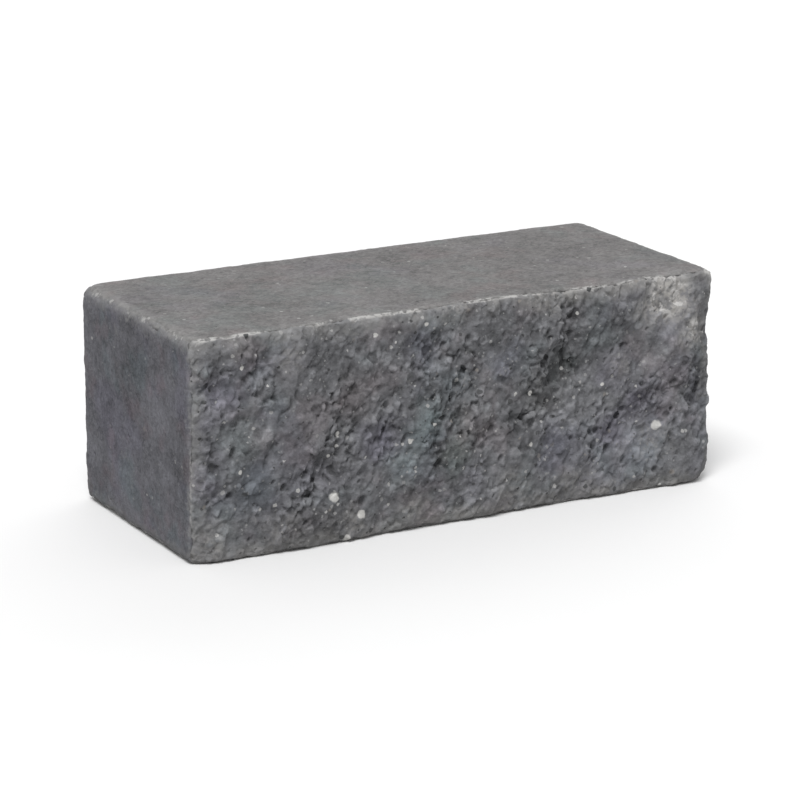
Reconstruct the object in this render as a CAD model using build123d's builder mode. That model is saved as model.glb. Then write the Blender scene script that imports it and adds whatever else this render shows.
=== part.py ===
# Split-face wall block: one piece of dry-cast concrete, split along one long side and tumbled.
# Millimetres. X runs along the wall, Y into it and Z up. The split face looks towards -Y.
# The origin is at the bottom centre of the block's bounding box.

from build123d import *
import os
from math import cos, exp, hypot, log, radians, sin, tanh
from random import Random

os.makedirs("parts", exist_ok=True)

# Overall size
LENGTH = 290
DEPTH = 130
HEIGHT = 110
HALF_LENGTH = LENGTH / 2
HALF_DEPTH = DEPTH / 2
MID_HEIGHT = HEIGHT / 2

# The twin half that breaks away in front of the split, and how far the fracture
# surface runs past the block so that it cuts clean through
TWIN_DEPTH = 30
OVERRUN = 4

# Spacing of the points that the fracture surface passes through
GRID_SPACING = 2.5
SURFACE_TOLERANCE = 0.1

# The fracture falls away towards its four arrises, which tumbling has blunted
END_FALL = 3.1
END_REACH = 5.4
BED_FALL = 2.6
BED_REACH = 4.6

# Long swells of the fracture: wavelength, height, heading in degrees, phase in degrees
SWELLS = [
    (210, 1.0, 12, 40),
    (128, 0.7, 74, 200),
    (93, 0.6, 152, 310),
]

# Facets of the fracture, drawn out along a slant, each with its own set-back and tilt.
# Half a blend's width inside its border a facet outweighs the next by the blend odds.
# Close to the arrises the facets settle to a share of their depth.
FACET_SEED = 11
FACET_WIDTH = 17
FACET_LENGTH = 27
FACET_SLANT = 66
FACET_SCATTER = 0.4
FACET_STEP = 0.9
FACET_TILT = 0.09
FACET_BLEND = 7.5
BLEND_ODDS = 9
FACET_SIGHT = 6
SETTLED_SHARE = 0.3
SETTLED_BORDER = 5
SETTLED_BLEND = 1.5

# Ridges, where the fracture steps back to the right of a slanting line:
# middle x, middle z, slant in degrees, half length, step
RIDGES = [
    (-111, 90, 88, 16, 1.3),
    (-78, 48, 70, 32, 2.2),
    (-7, 60, 63, 28, 2.1),
    (47, 62, 71, 32, 2.6),
    (57, 92, 90, 20, 1.8),
    (73, 32, 90, 14, 1.5),
    (98, 46, 28, 20, 2.0),
]
RIDGE_WIDTH = 5.5
RIDGE_REACH = 22.0

# Scars, where a bowl of concrete came away with the twin half:
# middle x, middle z, half width, half height, depth
SCARS = [
    (-136, 86, 8, 7, 2.2),
    (-45, 52, 11, 9, 1.3),
    (-15, 88, 12, 9, 1.3),
    (40, 51, 12, 10, 1.8),
    (56, 72, 9, 12, 1.6),
    (92, 41, 10, 8, 1.4),
    (137, 50, 11, 18, 2.0),
    (145, 80, 9, 12, 5.0),
    (113, 104, 20, 10, 1.6),
]

# Crevices torn along the fracture, deepest in the middle:
# x and z of one end, x and z of the other, half width, depth
CREVICES = [
    (-140, 83, -134, 91, 1.5, 1.8),
    (-88, 22, -77, 48, 1.3, 1.3),
    (-77, 48, -68, 73, 1.2, 1.5),
    (-70, 43, -63, 55, 1.4, 1.9),
    (-47, 45, -42, 59, 1.4, 1.8),
    (-18, 38, -9, 58, 1.5, 1.5),
    (-9, 58, 4, 82, 1.3, 1.6),
    (30, 48, 45, 52, 1.5, 2.1),
    (40, 64, 48, 81, 1.4, 2.1),
    (57, 64, 57, 82, 1.5, 2.0),
    (56, 82, 57, 108, 1.1, 1.5),
    (72, 24, 73, 42, 1.2, 1.7),
    (83, 35, 94, 46, 1.3, 2.0),
    (103, 41, 109, 53, 1.5, 2.0),
    (133, 42, 139, 58, 1.6, 1.9),
]

# Rounding that tumbling gives the moulded edges
MOULDED_WEAR = 4.0

# Chips knocked out of the moulded edges and corners:
# x, y and z on the sharp edge, radius of the bowl, bite in from the sharp edge
CHIPS = [
    (-HALF_LENGTH, HALF_DEPTH, HEIGHT, 13, 5.4),
    (-HALF_LENGTH, -22, HEIGHT, 14, 2.5),
    (-88, HALF_DEPTH, HEIGHT, 12, 2.6),
    (HALF_LENGTH, HALF_DEPTH, 0, 12, 4.6),
    (-HALF_LENGTH, -HALF_DEPTH, 0, 14, 8.0),
    (-HALF_LENGTH, -HALF_DEPTH, HEIGHT, 12, 7.0),
    (HALF_LENGTH, -HALF_DEPTH, 0, 12, 7.5),
]


def scatter_facets():
    """Facets scattered about a grid along and across the slant: along, across, set-back, tilts."""
    random = Random(FACET_SEED)
    reach = hypot(LENGTH, HEIGHT) / 2
    rows = round(reach / FACET_LENGTH)
    columns = round(reach / FACET_WIDTH)
    facets = []
    for row in range(-rows, rows + 1):
        for column in range(-columns, columns + 1):
            along = (row + random.uniform(-FACET_SCATTER, FACET_SCATTER)) * FACET_LENGTH
            across = (column + random.uniform(-FACET_SCATTER, FACET_SCATTER)) * FACET_WIDTH
            setback = random.uniform(-FACET_STEP, FACET_STEP)
            tilt_along = random.uniform(-FACET_TILT, FACET_TILT)
            tilt_across = random.uniform(-FACET_TILT, FACET_TILT)
            facets.append((along, across, setback, tilt_along, tilt_across))
    return facets


def slant_axes(x, z, slant):
    """x and z turned to run along and across a slanting line."""
    along = x * cos(radians(slant)) + z * sin(radians(slant))
    across = x * sin(radians(slant)) - z * cos(radians(slant))
    return along, across


def facet_depth(x, z, facets):
    """How far the facets push the fracture back at x, z: the nearest one, blended into the next."""
    along, across = slant_axes(x, z - MID_HEIGHT, FACET_SLANT)
    sharpness = log(BLEND_ODDS) * FACET_WIDTH / FACET_BLEND
    depth = 0
    weights = 0
    for facet_along, facet_across, setback, tilt_along, tilt_across in facets:
        ahead = along - facet_along
        aside = across - facet_across
        gap = (ahead / FACET_LENGTH) ** 2 + (aside / FACET_WIDTH) ** 2
        if gap < FACET_SIGHT:
            weight = exp(-sharpness * gap)
            depth += weight * (setback + tilt_along * ahead + tilt_across * aside)
            weights += weight
    border = min(HALF_LENGTH - abs(x), MID_HEIGHT - abs(z - MID_HEIGHT))
    inner = 1 / (1 + exp((SETTLED_BORDER - border) / SETTLED_BLEND))
    return depth / weights * (SETTLED_SHARE + (1 - SETTLED_SHARE) * inner)


def ridge_depth(x, z, ridge):
    """How far one ridge pushes the fracture back at x, z."""
    ridge_x, ridge_z, slant, half_length, step = ridge
    along, across = slant_axes(x - ridge_x, z - ridge_z, slant)
    fade = exp(-((across / RIDGE_REACH) ** 2) - (along / half_length) ** 4)
    return step / 2 * tanh(across / RIDGE_WIDTH) * fade


def scar_depth(x, z, scar):
    """How far one scar pushes the fracture back at x, z."""
    scar_x, scar_z, half_width, half_height, depth = scar
    spread = hypot((x - scar_x) / half_width, (z - scar_z) / half_height)
    return depth * exp(-(spread**3))


def fracture_depth(x, z, facets):
    """Relief of the fracture at x, z, growing away from the viewer."""
    depth = END_FALL * exp((abs(x) - HALF_LENGTH) / END_REACH)
    depth += BED_FALL * exp((abs(z - MID_HEIGHT) - MID_HEIGHT) / BED_REACH)
    for wavelength, height, heading, phase in SWELLS:
        along = x * cos(radians(heading)) + z * sin(radians(heading))
        depth += height * sin(radians(360 * along / wavelength + phase))
    depth += facet_depth(x, z, facets)
    for ridge in RIDGES:
        depth += ridge_depth(x, z, ridge)
    for scar in SCARS:
        depth += scar_depth(x, z, scar)
    return depth


def grid_line(low, high):
    """Evenly spaced places from low to high."""
    steps = round((high - low) / GRID_SPACING)
    return [low + (high - low) * step / steps for step in range(steps + 1)]


def bowl_middle(x, y, z, radius, bite):
    """Middle of the ball that takes a chip out of the sharp edge or corner at x, y, z."""
    outward = Vector(int(x / HALF_LENGTH), int(y / HALF_DEPTH), int(z / MID_HEIGHT - 1))
    return Vector(x, y, z) + outward.normalized() * (radius - bite)


def crevice_wheel(crevice, front_y, facets):
    """The wheel with a V-shaped rim that cuts a crevice: its hub, axle, radius and half thickness."""
    x_a, z_a, x_b, z_b, half_width, depth = crevice
    run = hypot(x_b - x_a, z_b - z_a)
    radius = run**2 / (8 * depth) + depth / 2
    middle_x = (x_a + x_b) / 2
    middle_z = (z_a + z_b) / 2
    hub_y = front_y + fracture_depth(middle_x, middle_z, facets) + depth - radius
    axle = Vector(z_a - z_b, 0, x_b - x_a)
    return Vector(middle_x, hub_y, middle_z), axle, radius, radius * half_width / depth


# The fracture surface, set back so that its proudest point is at the nominal front
facets = scatter_facets()
grid_x = grid_line(-HALF_LENGTH - OVERRUN, HALF_LENGTH + OVERRUN)
grid_z = grid_line(-OVERRUN, HEIGHT + OVERRUN)
relief = [[fracture_depth(x, z, facets) for z in grid_z] for x in grid_x]
front_y = -HALF_DEPTH - min(min(column) for column in relief)
fracture = Face.make_surface_from_array_of_points(
    [
        [(x, front_y + depth, z) for z, depth in zip(grid_z, column)]
        for x, column in zip(grid_x, relief)
    ],
    tol=SURFACE_TOLERANCE,
)

with BuildPart() as wall_block:
    # The pressed block, with its twin half still on in front of the split
    with BuildSketch(Plane.XY):
        with Locations((0, HALF_DEPTH)):
            Rectangle(LENGTH, DEPTH + TWIN_DEPTH, align=(Align.CENTER, Align.MAX))
    extrude(amount=HEIGHT)

    # The moulded edges, worn round and chipped
    moulded_edges = wall_block.edges().filter_by(Axis.Y)
    moulded_edges += wall_block.edges().group_by(Axis.Y)[-1]
    fillet(moulded_edges, radius=MOULDED_WEAR)
    for x, y, z, radius, bite in CHIPS:
        with Locations(bowl_middle(x, y, z, radius, bite)):
            Sphere(radius, mode=Mode.SUBTRACT)

    # The crevices, cut from in front as by a wheel, and the split through them
    for crevice in CREVICES:
        hub, axle, radius, half_thickness = crevice_wheel(crevice, front_y, facets)
        for side in (axle, -axle):
            with Locations(Plane(hub, z_dir=side)):
                Cone(
                    radius,
                    0,
                    half_thickness,
                    align=(Align.CENTER, Align.CENTER, Align.MIN),
                    mode=Mode.SUBTRACT,
                )
    split(bisect_by=fracture, keep=Keep.BOTTOM)

wall_block.part.label = "wall_block"
export_step(wall_block.part, "parts/wall_block.step")
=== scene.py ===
# A tumbled split-face wall block of anthracite concrete, on a plain pale floor in soft light.
# Lengths are millimetres, and MM turns them into Blender's metres. The frame's own bounds and
# names that end in _m are metres.

import itertools
import math

import bpy
import numpy as np
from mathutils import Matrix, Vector, kdtree


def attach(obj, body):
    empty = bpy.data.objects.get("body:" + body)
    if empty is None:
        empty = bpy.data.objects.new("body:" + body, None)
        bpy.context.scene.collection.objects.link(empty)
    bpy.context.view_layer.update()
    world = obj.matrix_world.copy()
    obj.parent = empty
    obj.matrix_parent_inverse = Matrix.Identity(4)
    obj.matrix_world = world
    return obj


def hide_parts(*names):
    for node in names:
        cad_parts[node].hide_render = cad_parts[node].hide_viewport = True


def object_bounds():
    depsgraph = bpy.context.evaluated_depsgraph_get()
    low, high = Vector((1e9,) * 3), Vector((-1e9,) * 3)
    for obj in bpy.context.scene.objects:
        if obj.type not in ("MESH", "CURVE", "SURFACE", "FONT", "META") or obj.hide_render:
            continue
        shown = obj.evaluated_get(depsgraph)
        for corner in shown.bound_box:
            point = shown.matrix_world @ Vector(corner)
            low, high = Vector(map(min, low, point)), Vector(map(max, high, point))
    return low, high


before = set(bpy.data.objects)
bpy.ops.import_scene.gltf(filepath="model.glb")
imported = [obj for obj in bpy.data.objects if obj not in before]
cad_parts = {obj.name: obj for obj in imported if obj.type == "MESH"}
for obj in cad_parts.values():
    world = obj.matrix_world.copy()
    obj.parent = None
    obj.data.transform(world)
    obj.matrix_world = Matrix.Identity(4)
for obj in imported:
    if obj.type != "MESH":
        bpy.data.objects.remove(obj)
cad_low, cad_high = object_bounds()

MM = 0.001
BLOCK_LOW = np.array(cad_low) / MM
BLOCK_HIGH = np.array(cad_high) / MM

# Mesh
VOXEL = 0.6
MOST_TRIANGLES = 196000

# Rounds of smoothing: from which edges stand out, from which hollows lie back for their painted shade,
# and over which the rubbing of an edge spreads, with the gain that makes up for the spreading
EDGE_ROUNDS = 80
HOLLOW_SHADE_ROUNDS = 24
RUBBED_ROUNDS = 40
RUBBED_GAIN = 1.8

# Average relief, taken off again so that the faces stay where they are
SPLIT_MEAN = 0.35
MOULDED_MEAN = 0.16

# The fracture's own slant, along which its crags are drawn out
FRACTURE_SLANT = 66

# Crevices of the split face: x and z of both ends, half width, depth. Most only roughen
# the cuts that the solid has, and the deeper ones are the scene's own.
CREVICES = [
    (-140, 83, -134, 91, 1.3, 0.7),
    (-111, 80, -110, 99, 0.9, 1.5),
    (-88, 22, -77, 48, 1.0, 0.6),
    (-77, 48, -68, 73, 0.9, 0.6),
    (-70, 44, -64, 54, 1.1, 0.8),
    (-46, 46, -43, 58, 1.1, 0.7),
    (-18, 38, -9, 58, 1.2, 0.6),
    (-17, 84, -10, 91, 0.9, 1.4),
    (-9, 58, 4, 82, 1.0, 0.6),
    (6, 48, 6, 58, 0.8, 1.4),
    (31, 49, 44, 52, 1.2, 0.8),
    (41, 66, 47, 80, 1.1, 0.8),
    (56, 82, 57, 108, 0.9, 0.6),
    (57, 66, 57, 80, 1.2, 0.8),
    (72, 26, 73, 40, 0.9, 0.6),
    (84, 36, 93, 45, 1.0, 0.7),
    (104, 43, 108, 51, 1.2, 0.8),
    (134, 44, 138, 56, 1.3, 0.7),
]

# Large white grains of the split face: x, z, radius
WHITE_GRAINS = [
    (-72, 25, 2.7),
    (-57, 13.6, 2.3),
    (111, 33.6, 2.7),
    (-64, 2.4, 1.8),
    (-20, 102, 1.3),
    (-69, 55, 1.2),
    (-74, 45, 1.2),
    (-30, 46, 1.3),
    (-16, 52, 1.1),
    (29, 61, 1.1),
    (38, 60, 1.1),
    (38, 34, 1.2),
    (79, 59, 1.1),
    (-121, 44, 1.1),
    (-119, 94, 1.1),
]

# Dusty places of the split face: x, z, reach, amount
DUSTY_PLACES = [
    (117, 102, 21, 1.0),
    (132, 80, 12, 0.9),
    (88, 68, 10, 0.35),
    (48, 106, 10, 0.5),
    (-62, 8, 12, 0.45),
    (27, 14, 14, 0.35),
    (108, 26, 14, 0.45),
    (-94, 97, 12, 0.4),
    (-134, 8, 15, 0.5),
    (-100, 5, 16, 0.35),
    (-30, 5, 18, 0.35),
    (64, 6, 20, 0.35),
]

# Tinted places of the split face, the darker ones painted shade along its crevices: x, z, reach,
# and the share of red, green and blue kept
TINTED_AND_SHADED_PLACES = [
    (-138, 44, 15, (1.22, 1.20, 1.26)),
    (-130, 80, 15, (1.02, 0.99, 1.06)),
    (-120, 58, 14, (1.18, 1.26, 1.24)),
    (-115, 34, 17, (0.96, 1.03, 1.09)),
    (-100, 92, 17, (1.18, 1.16, 1.17)),
    (-84, 12, 15, (1.16, 1.14, 1.11)),
    (-60, 72, 17, (0.96, 0.89, 0.88)),
    (-48, 47, 15, (0.82, 0.80, 0.88)),
    (-73, 38, 16, (0.85, 0.84, 0.85)),
    (-33, 36, 14, (1.25, 1.38, 1.36)),
    (-20, 54, 14, (1.22, 1.34, 1.33)),
    (-8, 72, 14, (1.18, 1.27, 1.29)),
    (-22, 92, 13, (1.20, 1.18, 1.26)),
    (-5, 34, 14, (0.85, 0.91, 0.85)),
    (5, 50, 13, (0.78, 0.74, 0.72)),
    (24, 78, 14, (0.96, 0.98, 1.05)),
    (28, 46, 14, (0.66, 0.66, 0.66)),
    (42, 57, 15, (0.68, 0.68, 0.66)),
    (56, 72, 14, (0.73, 0.75, 0.73)),
    (66, 96, 16, (1.10, 1.08, 1.08)),
    (54, 31, 16, (0.82, 0.82, 0.91)),
    (84, 36, 13, (0.72, 0.70, 0.76)),
    (100, 48, 14, (0.60, 0.58, 0.63)),
    (136, 50, 12, (0.69, 0.69, 0.73)),
    (88, 66, 14, (1.17, 1.14, 1.22)),
    (-18, 6, 10, (1.32, 1.16, 1.18)),
    (108, 24, 16, (1.13, 1.17, 1.22)),
]

# Grains of the split face: spacing, seed, how far they stand out, how deep their sockets are,
# how far their tones spread about the matrix, which also sets the painted shade in their sockets
GRAIN_LAYERS = [
    (6.5, 81, 1.0, 0.8, 0.26),
    (4.0, 82, 0.70, 0.55, 0.20),
    (2.4, 83, 0.30, 0.22, 0.10),
]
SOCKET_SHARE = 0.18

# Tones of the concrete: lightness, then its share of red, green and blue
SIDE_TONE = (0.121, 0.98, 0.98, 1.09)
BED_TONE = (0.149, 1.02, 0.99, 0.985)
SPLIT_TONE = (0.152, 0.985, 0.995, 1.05)
BORDER_TONE = (0.250, 1.01, 1.0, 0.98)
RUBBED_TONE = (0.290, 1.01, 1.0, 0.98)
CHIP_TONE = (0.42, 1.0, 0.99, 0.97)
DASH_TONE = (0.48, 1.0, 0.99, 0.97)
DUST_TONE = (0.400, 1.02, 0.985, 0.94)
FLAKE_TONE = (0.54, 1.01, 0.99, 0.97)
WHITE_TONE = (0.66, 1.0, 0.985, 0.95)

# Faintly tinted patches of the matrix: size, share of red, green and blue, the noise at which
# they begin and are full, and how much they cover
MATRIX_PATCHES = [
    (31, (0.92, 1.01, 1.00), 0.50, 0.66, 1.0),
    (24, (1.07, 0.97, 0.97), 0.52, 0.68, 1.0),
    (43, (0.99, 0.97, 1.05), 0.50, 0.64, 0.8),
]

# Specks of aggregate: spacing, share of places without one on the split face, reach in
# spacings, and tone
SPECKS = [
    (3.6, 0.970, 0.38, (0.66, 1.0, 0.99, 0.96)),
    (2.4, 0.955, 0.44, (0.46, 1.0, 0.99, 0.97)),
    (1.5, 0.940, 0.50, (0.30, 1.0, 1.0, 1.0)),
    (4.6, 0.965, 0.34, (0.23, 1.06, 0.99, 0.93)),
    (5.5, 0.930, 0.34, (0.085, 0.98, 1.0, 1.02)),
    (2.2, 0.940, 0.45, (0.060, 1.0, 1.0, 1.0)),
]

# Surface of the concrete
ROUGHNESS = 0.9
SPECULAR = 0.35
BUMP_STRENGTH = 0.75
BUMP_DISTANCE = 0.40

# Lamps: name, azimuth, elevation, spread in degrees, level
LAMPS = [
    ("key", -42, 62, 25, 0.70),
    ("fill", 138, 12, 70, 0.40),
]

# Lightness of the floor and the world, as they light the block and as the camera sees them
FLOOR_LIT = 0.50
FLOOR_SEEN = 0.87
WORLD_LIT = 0.50
WORLD_SEEN = 1.0
FLOOR_HALF_M = 8.0

# Camera: close to the photograph's direction onto the block
CAMERA_AZIMUTH = -29
CAMERA_ELEVATION = 16
CAMERA_DISTANCE = 1600
CAMERA_LENS = 144.5
CAMERA_AIM_RIGHT = -0.8
CAMERA_AIM_UP = -8.1
CAMERA_CLIP_M = 50


# Noise

def hashed(cell, seed, channel=0):
    """A random number from 0 to 1 for each whole-number lattice cell."""
    mixed = np.full(len(cell), (seed * 40503 + channel * 9176 + 12345) & 0xFFFFFFFF, np.uint32)
    for axis, prime in zip(cell.T, (73856093, 19349663, 83492791)):
        mixed ^= axis.astype(np.int64).astype(np.uint32) * np.uint32(prime)
        mixed ^= mixed >> np.uint32(15)
        mixed *= np.uint32(2246822519)
        mixed ^= mixed >> np.uint32(13)
        mixed *= np.uint32(3266489917)
    mixed ^= mixed >> np.uint32(16)
    return mixed / 4294967295.0


def noise(points, size, seed):
    """Smooth noise from about -1 to 1, with swells about as wide as size."""
    place = points / size
    cell = np.floor(place).astype(np.int64)
    inside = place - cell
    fade = inside**3 * (inside * (inside * 6 - 15) + 10)
    total = np.zeros(len(points))
    for corner in itertools.product((0, 1), repeat=points.shape[1]):
        corner = np.array(corner)
        slope = np.stack(
            [hashed(cell + corner, seed, axis) * 2 - 1 for axis in range(points.shape[1])], axis=1
        )
        value = np.sum(slope * (inside - corner), axis=1)
        weight = np.prod(np.where(corner == 1, fade, 1 - fade), axis=1)
        total += weight * value
    return total * 1.6


def layered(points, size, seed, layers, gain=0.5):
    """Noise with finer layers on top, each half as wide and gain times as high."""
    total = np.zeros(len(points))
    height = 1.0
    for layer in range(layers):
        total += height * noise(points, size / 2**layer, seed + layer)
        height *= gain
    return total


def ridged(points, size, seed, layers, gain=0.55):
    """Noise with sharp crests, from 0 in the troughs to about 1 on the crests."""
    total = np.zeros(len(points))
    height = 1.0
    reach = 0.0
    for layer in range(layers):
        total += height * (1 - np.abs(noise(points, size / 2**layer, seed + layer)))
        reach += height
        height *= gain
    return total / reach


def nearest_cells(points, size, seed):
    """Distance to the nearest and next scattered point, in sizes, and the nearest one's cell."""
    place = points / size
    cell = np.floor(place).astype(np.int64)
    first = np.full(len(points), 9.0)
    second = np.full(len(points), 9.0)
    owner = cell.copy()
    offset = np.zeros_like(place)
    for step in itertools.product((-1, 0, 1), repeat=points.shape[1]):
        neighbour = cell + np.array(step)
        scatter = np.stack(
            [hashed(neighbour, seed, axis) for axis in range(points.shape[1])], axis=1
        )
        gap = place - neighbour - scatter
        distance = np.sqrt(np.sum(gap**2, axis=1))
        nearer = distance < first
        second = np.where(nearer, first, np.minimum(second, distance))
        first = np.where(nearer, distance, first)
        owner[nearer] = neighbour[nearer]
        offset[nearer] = gap[nearer]
    return first, second, owner, offset


def smooth_step(low, high, value):
    """0 below low, 1 above high and smooth between."""
    t = np.clip((value - low) / (high - low), 0, 1)
    return t * t * (3 - 2 * t)


# Relief. Each function gives millimetres outwards along the surface's normal.

def fracture_axes(points):
    """Places on the split face along and across its slant."""
    x, z = points[:, 0], points[:, 2]
    slant = math.radians(FRACTURE_SLANT)
    along = x * math.cos(slant) + z * math.sin(slant)
    across = x * math.sin(slant) - z * math.cos(slant)
    return along, across


def facet_relief(points, size, stretch, seed, step, tilt):
    """Small tilted planes that meet in sharp steps, drawn out along the slant."""
    along, across = fracture_axes(points)
    flat = np.stack([along / stretch, across], axis=1)
    warp = np.stack([noise(points, size * 0.8, seed + other) for other in (50, 51)], axis=1)
    first, second, owner, offset = nearest_cells(flat + warp * size * 0.25, size, seed)
    setback = hashed(owner, seed, 5) * 2 - 1
    tilts = np.stack([hashed(owner, seed, 6), hashed(owner, seed, 7)], axis=1) * 2 - 1
    plane = setback * step + np.sum(tilts * offset, axis=1) * tilt * size
    return plane * smooth_step(0.0, 0.22, second - first)


def grain_domes(points, size, seed):
    """Round grains scattered in the matrix: their domes, 0 between them, and two draws for each."""
    first, _, owner, _ = nearest_cells(points, size, seed)
    width = 0.30 + 0.35 * hashed(owner, seed, 6)
    dome = np.sqrt(np.clip(1 - (first / width) ** 2, 0, 1))
    return dome, hashed(owner, seed, 5), hashed(owner, seed, 7)


def grain_relief(points):
    """Aggregate grains standing out of the matrix, and the sockets of grains pulled out."""
    relief = np.zeros(len(points))
    for size, seed, proud, socket, _ in GRAIN_LAYERS:
        dome, kind, draw = grain_domes(points, size, seed)
        relief += dome * np.where(kind < SOCKET_SHARE, -socket, proud * draw)
    return relief


def grain_tones_and_socket_shade(points):
    """Lightness of each grain about 1: painted shade in the sockets, grains pale or dark at random."""
    tones = np.ones(len(points))
    for size, seed, _, _, spread in GRAIN_LAYERS:
        dome, kind, _ = grain_domes(points, size, seed)
        shuffled = kind * 7.0 % 1.0
        # Sockets get painted shade; grains get a pale or dark tone of their own
        tone = np.where(kind < SOCKET_SHARE, -0.7 * spread, spread * (2.3 * shuffled - 1))
        tones *= 1 + np.minimum(1.6 * dome, 1) * tone
    return tones


def hole_relief(points, size, seed, share, width, depth):
    """Scattered holes up to width cells across, with steep sides."""
    first, _, owner, _ = nearest_cells(points, size, seed)
    radius = width / 2 * (0.35 + 0.65 * hashed(owner, seed, 6) ** 2)
    inside = smooth_step(0.0, 0.6, 1 - first / radius)
    return -np.where(hashed(owner, seed, 5) < share, depth * inside * radius * 2 / width, 0)


def line_gap(x, z, line):
    """Distance from places x, z to a line from x_a, z_a to x_b, z_b."""
    x_a, z_a, x_b, z_b = line
    run = math.hypot(x_b - x_a, z_b - z_a)
    along = np.clip(((x - x_a) * (x_b - x_a) + (z - z_a) * (z_b - z_a)) / run**2, 0, 1)
    return np.hypot(x - x_a - along * (x_b - x_a), z - z_a - along * (z_b - z_a))


def crevice_relief(points):
    """The split face's own dark crevices, wandering about their lines."""
    x = points[:, 0] + 1.6 * noise(points, 7.0, 161)
    z = points[:, 2] + 1.6 * noise(points, 7.0, 162)
    relief = np.zeros(len(points))
    for *line, half_width, depth in CREVICES:
        gap = line_gap(x, z, line)
        relief = np.minimum(relief, -depth * np.exp(-((gap / half_width) ** 2)))
    return relief * (0.75 + 0.5 * noise(points, 4.0, 163))


def torn_places(points):
    """Where the split tore roughest: 1 along the crevices, 0 well away from them."""
    x = points[:, 0] + 7.0 * noise(points, 18.0, 171)
    z = points[:, 2] + 7.0 * noise(points, 18.0, 172)
    gap = np.min([line_gap(x, z, line) for *line, _, _ in CREVICES], axis=0)
    return smooth_step(13.0, 2.0, gap)


def settling(points):
    """How much of the split face's relief is left: all of it, but little along the worn arrises."""
    gaps = np.minimum(points - BLOCK_LOW, BLOCK_HIGH - points)
    by_ends = 0.55 + 0.45 * smooth_step(0.0, 2.0, gaps[:, 0])
    by_beds = 0.25 + 0.75 * smooth_step(0.2, 2.8, gaps[:, 2])
    return np.minimum(by_ends, by_beds)


def slanted(points, stretch):
    """Places turned to the fracture's slant and squeezed along it, which draws marks out."""
    along, across = fracture_axes(points)
    return np.stack([along / stretch, points[:, 1], across], axis=1)


def split_relief(points):
    """The torn face of a split: crags, grains and pits, roughest along the crevices."""
    torn = torn_places(points)
    rough = np.clip(0.62 + 0.75 * torn + 0.30 * noise(points, 26.0, 173), 0.35, 1.5)
    drawn = slanted(points, 1.7)
    relief = 1.1 * noise(drawn, 17.0, 61)
    relief += rough * 1.1 * layered(drawn, 9.0, 65, 3, 0.55)
    relief += 0.5 * facet_relief(points, 12.0, 1.7, 31, 0.55, 0.22)
    relief += rough * facet_relief(points, 4.2, 1.3, 41, 0.30, 0.40)
    relief += rough * grain_relief(points)
    relief += hole_relief(drawn, 6.0, 201, 0.15 + 0.50 * torn, 0.75, 1.9)
    relief += hole_relief(drawn, 3.2, 211, 0.15 + 0.40 * torn, 0.70, 1.1)
    return relief + crevice_relief(points)


def moulded_relief(points):
    """The faces that the mould pressed: nearly flat, sandy, with air holes and drag marks."""
    relief = 0.12 * noise(points, 55.0, 101) + 0.07 * noise(points, 16.0, 102)
    relief += hole_relief(points, 9.0, 121, 0.40, 0.34, 1.0)
    relief += hole_relief(points, 5.0, 131, 0.25, 0.36, 0.6)
    return relief - MOULDED_MEAN


def wear_relief(points, edge, bulge):
    """Edges rubbed round and knocked in the tumbler, never evenly."""
    bite = 0.35 + 0.9 * layered(points, 13.0, 141, 2) + 1.3 * (0.7 - ridged(points, 5.0, 151, 3))
    notch = smooth_step(0.25, 0.75, noise(points, 9.0, 143))
    nick = smooth_step(0.10, 0.60, noise(points, 4.0, 144))
    return -edge * (bulge + 1.2 * np.clip(bite, -0.2, None) + 1.6 * notch + 0.8 * nick)


# Marks that the material reads from the mesh

def border_gap(points):
    """Distance of each point from the nearest of the block's twelve edges."""
    gaps = np.minimum(points - BLOCK_LOW, BLOCK_HIGH - points)
    return np.sort(gaps, axis=1)[:, 1]


def placed(points, x, z, reach):
    """A ragged patch of the split face about x, z: 1 in its middle, 0 past its reach."""
    gap_x = points[:, 0] - x + 0.35 * reach * noise(points, 0.8 * reach, 301)
    gap_z = points[:, 2] - z + 0.35 * reach * noise(points, 0.8 * reach, 302)
    return smooth_step(1.15, 0.1, np.hypot(gap_x, gap_z) / reach)


def chipped_edges(points, edge):
    """Where edges are chipped bright: most along the upper front arris, least behind."""
    front = smooth_step(BLOCK_LOW[1] + 12, BLOCK_LOW[1] + 8, points[:, 1])
    top = smooth_step(BLOCK_HIGH[2] - 8, BLOCK_HIGH[2] - 4, points[:, 2])
    return edge * (0.35 + 0.15 * front + 0.50 * front * top)


def split_tints_and_shade(points, split):
    """Rows of red, green and blue that multiply the concrete's colour: tinted patches, and painted
    shade in the grain sockets and along the crevices.
    """
    tones = 1 + split * (grain_tones_and_socket_shade(points) - 1)
    tints_and_shade = np.stack([tones] * 3, axis=1)
    for x, z, reach, kept in TINTED_AND_SHADED_PLACES:
        cover = (split * placed(points, x, z, reach))[:, None]
        tints_and_shade *= 1 + cover * (np.array(kept) - 1)
    return tints_and_shade


def split_dust(points, split):
    """How much pale dust lies on each point of the split face: along its beds and in places."""
    z = points[:, 2]
    rim = smooth_step(13.0, 2.0, np.minimum(z - BLOCK_LOW[2], BLOCK_HIGH[2] - z))
    dust = 0.5 * rim * smooth_step(-0.5, 0.5, noise(points, 13.0, 303))
    for x, z, reach, amount in DUSTY_PLACES:
        dust = np.maximum(dust, amount * placed(points, x, z, reach))
    return dust * split


def room_left(points, normals):
    """How far each point can move along its normal before it leaves the block's box."""
    ahead = np.where(normals > 0, BLOCK_HIGH - points, points - BLOCK_LOW)
    return np.min(np.maximum(ahead, 0) / np.maximum(np.abs(normals), 0.05), axis=1)


# Mesh work

def rows_of(things, name):
    """A three-number property of a mesh's vertices or normals as rows of x, y, z."""
    values = np.empty(len(things) * 3, np.float32)
    things.foreach_get(name, values)
    return values.reshape(-1, 3).astype(float)


def applied(thing):
    """The mesh of an object with its modifiers applied."""
    graph = bpy.context.evaluated_depsgraph_get()
    return bpy.data.meshes.new_from_object(thing.evaluated_get(graph))


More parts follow.
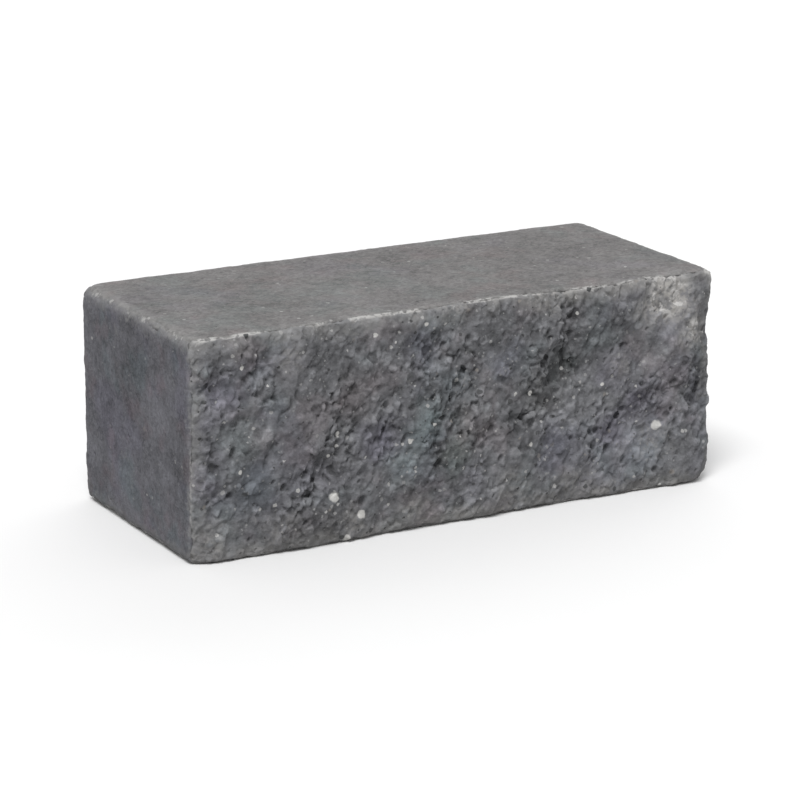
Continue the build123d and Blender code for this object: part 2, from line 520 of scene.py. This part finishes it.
def spread_out(values, pairs, rounds):
    """Values smoothed over the mesh's edges, round after round."""
    count = len(values)
    neighbours = np.bincount(pairs.ravel(), minlength=count)
    for _ in range(rounds):
        total = np.bincount(pairs[:, 0], values[pairs[:, 1]], count)
        total += np.bincount(pairs[:, 1], values[pairs[:, 0]], count)
        values = 0.5 * values + 0.5 * total / neighbours
    return values


def standing_proud(points, normals, pairs, rounds):
    """How far each point stands out of the smoothed surface: most on edges, below 0 in hollows."""
    smoothed = np.stack([spread_out(axis, pairs, rounds) for axis in points.T], axis=1)
    return np.sum((points - smoothed) * normals, axis=1)


def make_block():
    """The CAD block, remeshed finely, given its relief and thinned out to the triangle limit."""
    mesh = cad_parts["wall_block"].data.copy()
    block = bpy.data.objects.new("concrete_block", mesh)
    bpy.context.scene.collection.objects.link(block)

    remesh = block.modifiers.new("remesh", "REMESH")
    remesh.mode = "VOXEL"
    remesh.voxel_size = VOXEL * MM
    fine = applied(block)
    block.modifiers.clear()

    points = rows_of(fine.vertices, "co") / MM
    normals = rows_of(fine.vertex_normals, "vector")
    pairs = np.empty(len(fine.edges) * 2, np.int32)
    fine.edges.foreach_get("vertices", pairs)
    pairs = pairs.reshape(-1, 2)
    bulge = standing_proud(points, normals, pairs, EDGE_ROUNDS)
    edge = smooth_step(0.10, 0.75, bulge)

    split = smooth_step(0.30, 0.62, -normals[:, 1])
    bed = smooth_step(0.55, 0.85, np.abs(normals[:, 2])) * (1 - split)
    relief = np.zeros(len(points))
    on_split = split > 0
    on_mould = split < 1
    torn = split_relief(points[on_split]) - SPLIT_MEAN
    relief[on_split] += (split * settling(points))[on_split] * torn
    relief[on_mould] += (1 - split[on_mould]) * moulded_relief(points[on_mould])
    relief += wear_relief(points, edge, bulge)
    relief = np.minimum(relief, room_left(points, normals))

    moved = np.clip(points + normals * relief[:, None], BLOCK_LOW, BLOCK_HIGH)
    fine.vertices.foreach_set("co", (moved * MM).astype(np.float32).ravel())
    fine.update()
    # How far each point lies back in a hollow or stands out on an edge: the material paints shade into
    # the hollows and lightens the crests
    painted_hollow_shade = relief - spread_out(relief, pairs, HOLLOW_SHADE_ROUNDS) + 0.7 * np.minimum(bulge, 0.4)

    block.data = fine
    fine.calc_loop_triangles()
    thin = block.modifiers.new("thin", "DECIMATE")
    thin.ratio = min(1.0, MOST_TRIANGLES / len(fine.loop_triangles))
    thin.use_collapse_triangulate = True
    final = applied(block)
    block.modifiers.clear()
    block.data = final
    final.name = "concrete_block"

    tree = kdtree.KDTree(len(moved))
    for index, point in enumerate(moved * MM):
        tree.insert(point, index)
    tree.balance()
    source = [tree.find(vertex.co)[1] for vertex in final.vertices]
    kept, split = points[source], split[source]
    marks = {
        "split": split,
        "bed": bed[source],
        "painted_hollow_shade": painted_hollow_shade[source],
        "edge": np.clip(RUBBED_GAIN * spread_out(edge, pairs, RUBBED_ROUNDS)[source], 0, 1),
        "chipped": chipped_edges(kept, edge[source]),
        "border": border_gap(kept),
        "dust": split_dust(kept, split),
    }
    for name, values in marks.items():
        layer = final.attributes.new(name, "FLOAT", "POINT")
        layer.data.foreach_set("value", values.astype(np.float32))
    # The tint attribute holds tinted patches and painted shade in sockets and along crevices
    layer = final.attributes.new("tint", "FLOAT_VECTOR", "POINT")
    layer.data.foreach_set("vector", split_tints_and_shade(kept, split).astype(np.float32).ravel())
    inside = np.clip(rows_of(final.vertices, "co") / MM, BLOCK_LOW, BLOCK_HIGH) * MM
    final.vertices.foreach_set("co", inside.astype(np.float32).ravel())
    final.shade_smooth()
    return block


# Materials

class Nodes:
    """Short calls for building a node tree."""

    def __init__(self, tree):
        self.tree = tree
        tree.nodes.clear()

    def add(self, kind, inputs=None, **settings):
        node = self.tree.nodes.new(kind)
        for name, value in settings.items():
            setattr(node, name, value)
        for name, value in (inputs or {}).items():
            self.feed(node.inputs[name], value)
        return node

    def feed(self, socket, value):
        if isinstance(value, bpy.types.NodeSocket):
            self.tree.links.new(value, socket)
        else:
            socket.default_value = value

    def math(self, operation, a, b=0.0, clamp=False):
        node = self.add("ShaderNodeMath", operation=operation, use_clamp=clamp)
        self.feed(node.inputs[0], a)
        self.feed(node.inputs[1], b)
        return node.outputs[0]

    def ramp(self, value, low, high, out_low=0.0, out_high=1.0):
        """A smooth step from out_low to out_high as value goes from low to high."""
        node = self.add("ShaderNodeMapRange", interpolation_type="SMOOTHSTEP")
        for name, number in (("Value", value), ("From Min", low), ("From Max", high),
                             ("To Min", out_low), ("To Max", out_high)):
            self.feed(node.inputs[name], number)
        return node.outputs[0]

    def mix(self, factor, a, b, blend="MIX"):
        node = self.add("ShaderNodeMix", data_type="RGBA", blend_type=blend)
        self.feed(node.inputs["Factor"], factor)
        self.feed(node.inputs["A"], a)
        self.feed(node.inputs["B"], b)
        return node.outputs["Result"]

    def noise(self, place, size, detail=2.0, roughness=0.5, output="Fac"):
        node = self.add("ShaderNodeTexNoise", {"Vector": place, "Scale": 1000 / size,
                                               "Detail": detail, "Roughness": roughness})
        return node.outputs[output]

    def swing(self, value, reach):
        """A value that swings about 0.5, turned into one that swings about 0 and reach times as far."""
        return self.math("MULTIPLY", self.math("SUBTRACT", value, 0.5), reach)

    def total(self, *values):
        result = values[0]
        for value in values[1:]:
            result = self.math("ADD", result, value)
        return result

    def stretched(self, place, factors):
        node = self.add("ShaderNodeVectorMath", operation="MULTIPLY")
        self.feed(node.inputs[0], place)
        self.feed(node.inputs[1], factors)
        return node.outputs[0]

    def wandering(self, place, size, reach):
        """Places pushed about by noise, so that round marks come out ragged."""
        drift = self.add("ShaderNodeVectorMath", operation="MULTIPLY_ADD")
        self.feed(drift.inputs[0], self.noise(place, size, 1.0, output="Color"))
        self.feed(drift.inputs[1], (2 * reach * MM,) * 3)
        self.feed(drift.inputs[2], (-reach * MM,) * 3)
        moved = self.add("ShaderNodeVectorMath", operation="ADD")
        self.feed(moved.inputs[0], place)
        self.feed(moved.inputs[1], drift.outputs[0])
        return moved.outputs[0]

    def channels(self, colour):
        return self.add("ShaderNodeSeparateColor", {"Color": colour}).outputs

    def cells(self, place, size):
        return self.add("ShaderNodeTexVoronoi", {"Vector": place, "Scale": 1000 / size}).outputs

    def gap(self, place, x, z):
        """Distance in millimetres from a place on the split face, measured in x and z only."""
        flat = self.stretched(place, (1 / MM, 0, 1 / MM))
        node = self.add("ShaderNodeVectorMath", operation="DISTANCE")
        self.feed(node.inputs[0], flat)
        self.feed(node.inputs[1], (x, 0, z))
        return node.outputs["Value"]

    def attribute(self, name, output="Fac"):
        return self.add("ShaderNodeAttribute", attribute_name=name).outputs[output]


def grey(value, red=1.0, green=1.0, blue=1.0):
    """A linear colour a little off grey."""
    return (value * red, value * green, value * blue, 1.0)


def matrix_colour(n, place, split, bed):
    """Cement and fines: bluish on the moulded sides, warmer on the beds, in tinted patches."""
    moulded = n.mix(bed, grey(*SIDE_TONE), grey(*BED_TONE))
    base = n.mix(split, moulded, grey(*SPLIT_TONE))
    strength = n.ramp(n.math("ADD", split, bed), 0, 1, 1.1, 0.6)
    for size, tint, low, high, amount in MATRIX_PATCHES:
        spread = n.add("ShaderNodeVectorMath", operation="ADD")
        n.feed(spread.inputs[0], place)
        n.feed(spread.inputs[1], (size * MM * 7, 0, 0))
        cover = n.ramp(n.noise(spread.outputs[0], size, 3.0, 0.55), low, high, 0.0, amount)
        cover = n.math("MULTIPLY", cover, strength)
        base = n.mix(cover, base, grey(1, *tint), "MULTIPLY")
    return base


def sand_shade(n, place, split, bed, painted_hollow_shade):
    """Lightness about 1: clouds, drag marks, sand grains, painted shade in the hollows, paler on rubbed
    crests.
    """
    moulded_side = n.math("SUBTRACT", 1.0, n.math("ADD", split, bed), clamp=True)
    clouds = n.total(
        n.swing(n.noise(place, 65, 2.0), n.ramp(bed, 0, 1, 1.25, 0.75)),
        n.swing(n.noise(place, 20, 2.0), n.ramp(bed, 0, 1, 0.85, 0.50)),
        n.swing(n.noise(place, 7, 2.0), n.ramp(bed, 0, 1, 0.80, 0.60)),
    )
    drag = n.noise(n.stretched(place, (1, 1, 0.12)), 5, 2.0)
    streaks = n.math("MULTIPLY", n.swing(drag, 0.25), moulded_side)
    coarse = n.swing(n.channels(n.cells(place, 1.7)["Color"])[0], n.ramp(split, 0, 1, 0.38, 0.18))
    fine = n.swing(n.channels(n.cells(place, 0.8)["Color"])[0], n.ramp(split, 0, 1, 0.28, 0.22))
    # Painted shade in the hollows, and paler rubbed crests and edges
    hollows = n.ramp(painted_hollow_shade, -1.2, 0.8, -0.33, 0.25)
    return n.total(1.0, clouds, streaks, coarse, fine, hollows)


def with_grains(n, place, split, colour):
    """Pale and dark specks of aggregate, a few in each layer and fewer on the moulded faces."""
    ragged = n.wandering(place, 1.2, 0.6)
    for size, empty, reach, tone in SPECKS:
        cell = n.cells(ragged, size)
        draw = n.channels(cell["Color"])
        chosen = n.math("GREATER_THAN", draw[1], n.ramp(split, 0, 1, 0.75 + 0.25 * empty, empty))
        rim = n.ramp(draw[2], 0, 1, reach * 0.55, reach)
        cover = n.ramp(cell["Distance"], n.math("MULTIPLY", rim, 0.8), rim, 1.0, 0.0)
        cover = n.math("MULTIPLY", chosen, cover)
        cover = n.math("MULTIPLY", cover, n.ramp(split, 0, 1, 0.45, 0.95))
        cover = n.math("MULTIPLY", cover, n.ramp(draw[0], 0, 1, 0.35, 1.0))
        colour = n.mix(cover, colour, grey(*tone))
    return colour


def with_dust(n, place, split, colour):
    """Pale dust rubbed into the worn borders and lying in the photograph's own dusty places."""
    border = n.attribute("border")
    edge = n.attribute("edge")
    ragged = n.total(n.noise(place, 9, 3.0, 0.6), n.swing(n.noise(place, 1.8, 2.0), 0.9))
    wander = n.total(border, n.swing(ragged, 12.0), n.swing(n.noise(place, 24, 2.0), 10.0))
    band = n.ramp(wander, 0.5, 8.0, n.ramp(split, 0, 1, 0.45, 0.55), 0.0)
    colour = n.mix(band, colour, grey(*BORDER_TONE))
    rubbed = n.ramp(n.math("ADD", edge, n.swing(ragged, 2.6)), 0.35, 1.25, 0.0, 0.55)
    rubbed = n.math("MULTIPLY", rubbed, n.ramp(n.noise(place, 6, 2.0, 0.6), 0.36, 0.60, 0.25, 1.0))
    colour = n.mix(rubbed, colour, grey(*RUBBED_TONE))
    near = n.ramp(n.math("ADD", border, n.swing(n.noise(place, 6, 1.0), 5.0)), 1.5, 5.5, 1.0, 0.0)
    small = n.swing(n.noise(place, 3.2, 2.0, 0.6), 3.6)
    large = n.swing(n.noise(place, 16, 1.0), 2.4)
    chips = n.ramp(n.total(near, small, large), 1.30, 1.80, 0.0, 0.75)
    colour = n.mix(chips, colour, grey(*CHIP_TONE))
    chipped = n.ramp(n.attribute("chipped"), 0.20, 0.80)
    dashes = n.math("MULTIPLY", chipped, n.ramp(n.noise(place, 15, 1.0), 0.47, 0.53))
    dashes = n.math("MULTIPLY", dashes, n.ramp(n.noise(place, 2.4, 2.0), 0.40, 0.52, 0.15, 1.0))
    colour = n.mix(dashes, colour, grey(*DASH_TONE))
    dust = n.attribute("dust")
    broken = n.ramp(ragged, 0.34, 0.66, 0.30, 1.0)
    colour = n.mix(n.math("MULTIPLY", dust, broken), colour, grey(*DUST_TONE))
    crusts = n.ramp(n.noise(place, 5, 3.0, 0.6), 0.50, 0.60)
    flakes = n.math("MULTIPLY", n.ramp(dust, 0.45, 0.85), crusts)
    return n.mix(flakes, colour, grey(*FLAKE_TONE))


def with_white_grains(n, place, split, colour):
    """The photograph's large white grains, each in its own place."""
    ragged = n.wandering(place, 2.5, 0.8)
    for x, z, radius in WHITE_GRAINS:
        cover = n.ramp(n.gap(ragged, x, z), radius * 0.75, radius * 1.1, 0.92, 0.0)
        colour = n.mix(n.math("MULTIPLY", cover, split), colour, grey(*WHITE_TONE))
    return colour


def concrete_material():
    """Anthracite concrete: tinted matrix, sand, pale and dark grains, dusty edges, and painted shade in
    hollows, sockets and crevices.
    """
    material = bpy.data.materials.new("anthracite_concrete")
    material.use_nodes = True
    n = Nodes(material.node_tree)
    place = n.add("ShaderNodeTexCoord").outputs["Object"]
    split, bed, painted_hollow_shade = [n.attribute(name) for name in ("split", "bed", "painted_hollow_shade")]

    shade = sand_shade(n, place, split, bed, painted_hollow_shade)
    tone = n.add("ShaderNodeCombineColor", {"Red": shade, "Green": shade, "Blue": shade})
    colour = n.mix(1.0, matrix_colour(n, place, split, bed), tone.outputs[0], "MULTIPLY")
    # Tinted patches, and painted shade in sockets and along the crevices
    colour = n.mix(1.0, colour, n.attribute("tint", "Vector"), "MULTIPLY")
    colour = with_dust(n, place, split, colour)
    colour = with_grains(n, place, split, colour)
    colour = with_white_grains(n, place, split, colour)

    shader = n.add("ShaderNodeBsdfPrincipled", {"Base Color": colour})
    shader.inputs["Roughness"].default_value = ROUGHNESS
    shader.inputs["Specular IOR Level"].default_value = SPECULAR

    # Sand finer than the mesh, and the drag marks and faint waves of the moulded faces
    moulded = n.math("SUBTRACT", 1.0, split, clamp=True)
    drag = n.noise(n.stretched(place, (1, 1, 0.07)), 3.0, 2.0)
    drag = n.swing(drag, n.math("MULTIPLY", moulded, 0.8))
    waves = n.swing(n.noise(place, 3.5, 2.0), n.math("MULTIPLY", moulded, 1.2))
    sand = n.swing(n.channels(n.cells(place, 1.5)["Color"])[1], 0.5)
    height = n.total(n.noise(place, 0.9, 3.0, 0.6), sand, drag, waves)
    bump = n.add("ShaderNodeBump", {"Height": height})
    bump.inputs["Strength"].default_value = BUMP_STRENGTH
    bump.inputs["Distance"].default_value = BUMP_DISTANCE * MM
    n.feed(shader.inputs["Normal"], bump.outputs[0])
    output = n.add("ShaderNodeOutputMaterial")
    n.feed(output.inputs["Surface"], shader.outputs[0])
    return material


def floor_material():
    """A white floor to the eye, and a plain grey one to the block."""
    material = bpy.data.materials.new("studio_floor")
    material.use_nodes = True
    n = Nodes(material.node_tree)
    seen = n.add("ShaderNodeLightPath").outputs["Is Camera Ray"]
    colour = n.mix(seen, grey(FLOOR_LIT), grey(FLOOR_SEEN))
    shader = n.add("ShaderNodeBsdfDiffuse", {"Color": colour})
    output = n.add("ShaderNodeOutputMaterial")
    n.feed(output.inputs["Surface"], shader.outputs[0])
    return material


# Studio

def make_floor():
    """A wide pale floor under the block."""
    half = FLOOR_HALF_M
    corners = [(-half, -half, 0), (half, -half, 0), (half, half, 0), (-half, half, 0)]
    mesh = bpy.data.meshes.new("floor")
    mesh.from_pydata(corners, [], [(0, 1, 2, 3)])
    floor = bpy.data.objects.new("floor", mesh)
    bpy.context.scene.collection.objects.link(floor)
    mesh.materials.append(floor_material())


def make_sun(name, azimuth, elevation, spread, level):
    """A soft far lamp. At level 1 a surface square on to it renders at its written colour."""
    sun_data = bpy.data.lights.new(name, "SUN")
    sun_data.angle = math.radians(spread)
    sun_data.energy = level * math.pi
    sun = bpy.data.objects.new(name, sun_data)
    bpy.context.scene.collection.objects.link(sun)
    back = direction(azimuth, elevation)
    sun.location = back
    sun.rotation_mode = "QUATERNION"
    sun.rotation_quaternion = (-back).to_track_quat("-Z", "Y")


def direction(azimuth, elevation):
    """The way from the block to a camera or lamp; azimuth 0 stands in front of the split face."""
    a, e = math.radians(azimuth), math.radians(elevation)
    return Vector((math.sin(a) * math.cos(e), -math.cos(a) * math.cos(e), math.sin(e)))


def make_world():
    """Even light all round, seen by the camera as white."""
    world = bpy.data.worlds.new("studio")
    bpy.context.scene.world = world
    world.use_nodes = True
    n = Nodes(world.node_tree)
    seen = n.add("ShaderNodeLightPath").outputs["Is Camera Ray"]
    strength = n.ramp(seen, 0, 1, WORLD_LIT, WORLD_SEEN)
    background = n.add("ShaderNodeBackground", {"Color": grey(1.0), "Strength": strength})
    output = n.add("ShaderNodeOutputWorld")
    n.feed(output.inputs["Surface"], background.outputs[0])


def make_camera():
    """A camera close to the photograph's direction, with the block filling the frame."""
    camera_data = bpy.data.cameras.new("camera")
    camera_data.lens = CAMERA_LENS
    camera_data.clip_end = CAMERA_CLIP_M
    camera = bpy.data.objects.new("camera", camera_data)
    bpy.context.scene.collection.objects.link(camera)
    back = direction(CAMERA_AZIMUTH, CAMERA_ELEVATION)
    right = Vector((0, 0, 1)).cross(back).normalized()
    up = back.cross(right)
    middle = (cad_low + cad_high) / 2
    aim = middle + (right * CAMERA_AIM_RIGHT + up * CAMERA_AIM_UP) * MM
    camera.location = aim + back * CAMERA_DISTANCE * MM
    camera.rotation_mode = "QUATERNION"
    camera.rotation_quaternion = (-back).to_track_quat("-Z", "Y")
    bpy.context.scene.camera = camera


block = make_block()
block.data.materials.clear()
block.data.materials.append(concrete_material())
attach(block, "root")
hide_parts("wall_block")

make_floor()
make_world()
for lamp in LAMPS:
    make_sun(*lamp)
make_camera()
bpy.context.scene.view_settings.view_transform = "Standard"
